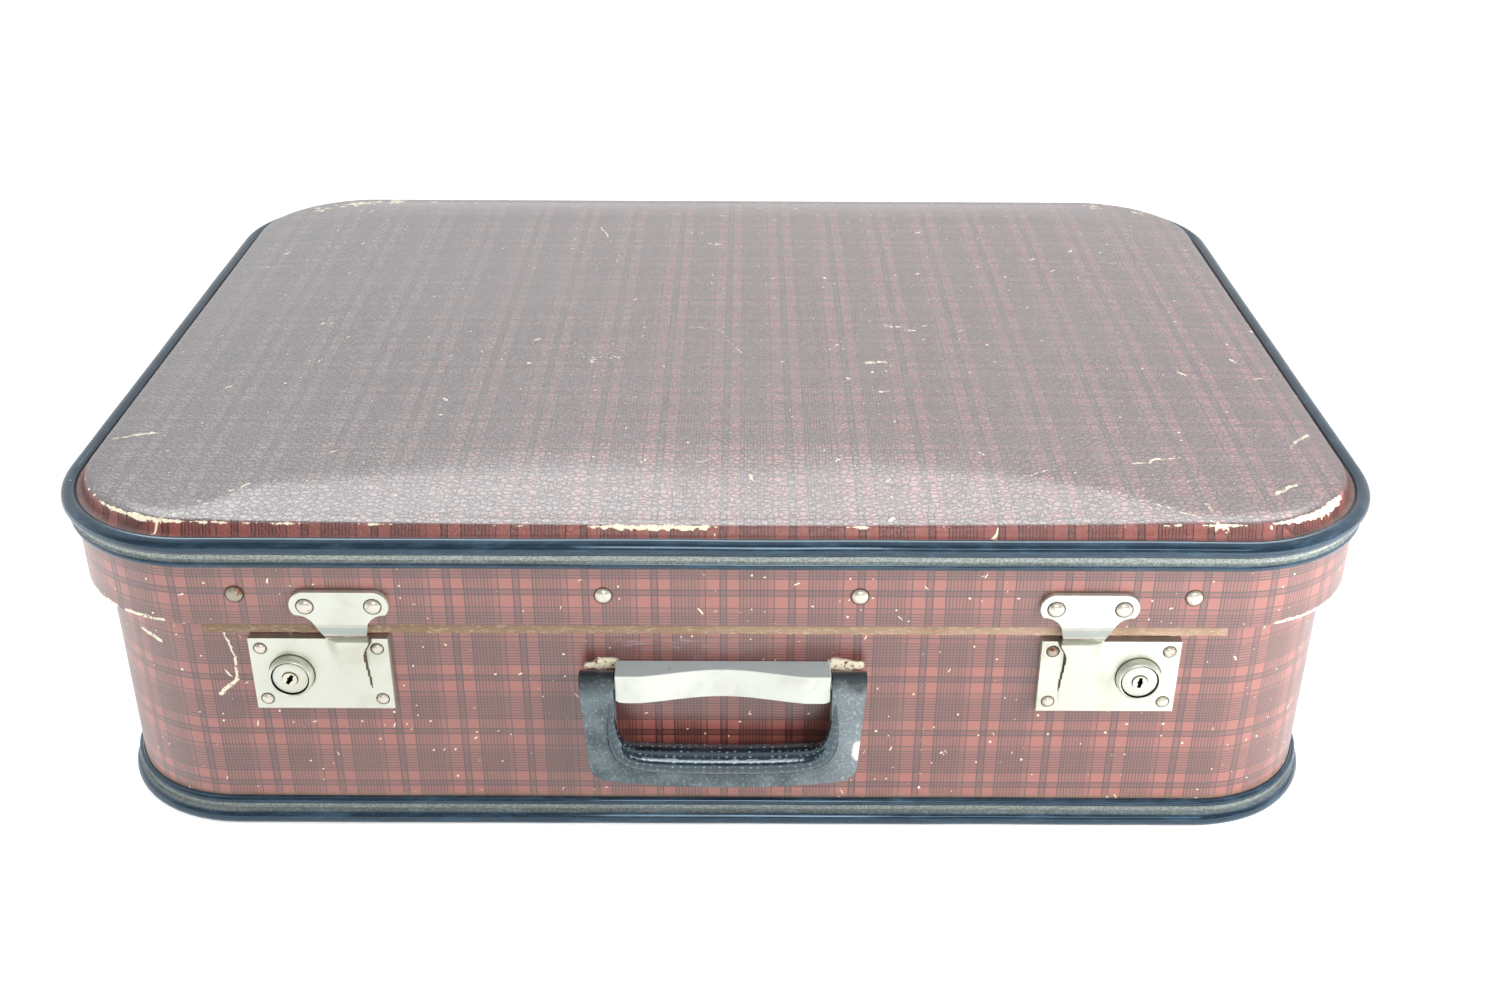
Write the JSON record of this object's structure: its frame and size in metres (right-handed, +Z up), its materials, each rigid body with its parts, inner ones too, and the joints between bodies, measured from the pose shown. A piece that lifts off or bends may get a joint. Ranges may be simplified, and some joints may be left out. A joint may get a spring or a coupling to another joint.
{
  "type": "vintage suitcase",
  "caption": "Fibreboard travelling case in plaid paper: telescoping hinged lid, black piping, key locks with hasps, and a hanging carry handle.",
  "frame": {"origin": "middle of the flat bottom face", "axes": "+X along the width to the right seen from the front, -Y out of the front with the handle, +Z up through the lid"},
  "size_m": [0.5674, 0.4342, 0.16],
  "materials": {
    "plaid_wall": "printed coated paper on fibreboard, satin",
    "plaid_top": "printed coated paper on fibreboard, glossy",
    "piping": "glossy black piping",
    "lining": "plain lining paper",
    "raw_strip": "raw board",
    "handle_plastic": "dark grey moulded, satin",
    "rivet_steel": "plated rivet heads, dulled",
    "key_brass": "dull brass",
    "inner_steel": "plain steel",
    "hinge_steel": "plated steel, dulled",
    "nickel": "pale nickel plate, worn"
  },
  "bodies": {
    "base": {"base_band": "plaid_wall", "bottom_panel": "plaid_wall", "bottom_piping": "piping", "base_lining": "lining", "handle_bracket": "nickel", "handle_backing_plate": "inner_steel", "handle_bracket_rivets": "rivet_steel", "left_lock_case": "nickel", "right_lock_case": "nickel", "left_lock_collar": "nickel", "right_lock_collar": "nickel", "left_lock_disc": "nickel", "right_lock_disc": "nickel", "left_lock_backplate": "inner_steel", "right_lock_backplate": "inner_steel", "left_lock_rivets": "rivet_steel", "right_lock_rivets": "rivet_steel", "left_hinge_base_leaf": "hinge_steel", "right_hinge_base_leaf": "hinge_steel", "left_hinge_pin": "rivet_steel", "right_hinge_pin": "rivet_steel", "left_hinge_base_rivets": "rivet_steel", "right_hinge_base_rivets": "rivet_steel"},
    "lid": {"lid_band": "plaid_wall", "lid_panel": "plaid_top", "lid_piping": "piping", "lid_lining": "lining", "lid_wall_lining": "lining", "front_strip": "raw_strip", "strip_rivets": "rivet_steel", "left_hasp": "nickel", "right_hasp": "nickel", "left_hasp_rivets": "rivet_steel", "right_hasp_rivets": "rivet_steel", "left_hinge_lid_leaf": "hinge_steel", "right_hinge_lid_leaf": "hinge_steel", "left_hinge_lid_rivets": "rivet_steel", "right_hinge_lid_rivets": "rivet_steel"},
    "handle": {"handle": "handle_plastic", "handle_pins": "rivet_steel"},
    "left_bolt": {"left_lock_bolt": "inner_steel"},
    "right_bolt": {"right_lock_bolt": "inner_steel"},
    "left_plug": {"left_key_plug": "key_brass"},
    "right_plug": {"right_key_plug": "key_brass"}
  },
  "joints": [
    {"name": "lid_hinge", "type": "hinge", "parent": "base", "child": "lid", "pos_m": [0, 0.2128, 0.1065], "axis": [-1, 0, 0], "range_deg": [0, 180]},
    {"name": "handle_swing", "type": "hinge", "parent": "base", "child": "handle", "pos_m": [0.0033, -0.209, 0.08], "axis": [-1, 0, 0], "range_deg": [0, 110]},
    {"name": "left_key_turn", "type": "hinge", "parent": "base", "child": "left_plug", "pos_m": [-0.1803, -0.205, 0.08235], "axis": [0, 1, 0], "range_deg": [0, 90.1]},
    {"name": "left_bolt_slide", "type": "slide", "parent": "base", "child": "left_bolt", "axis": [1, 0, 0], "range_m": [0, 0.00396]},
    {"name": "right_key_turn", "type": "hinge", "parent": "base", "child": "right_plug", "pos_m": [0.1803, -0.205, 0.08235], "axis": [0, -1, 0], "range_deg": [0, 90.1]},
    {"name": "right_bolt_slide", "type": "slide", "parent": "base", "child": "right_bolt", "axis": [-1, 0, 0], "range_m": [0, 0.00396]}
  ],
  "couplings": [
    {"joint": "left_key_turn", "follows": "left_bolt_slide", "rad_per_m": 396.69},
    {"joint": "right_key_turn", "follows": "right_bolt_slide", "rad_per_m": 396.69}
  ]
}
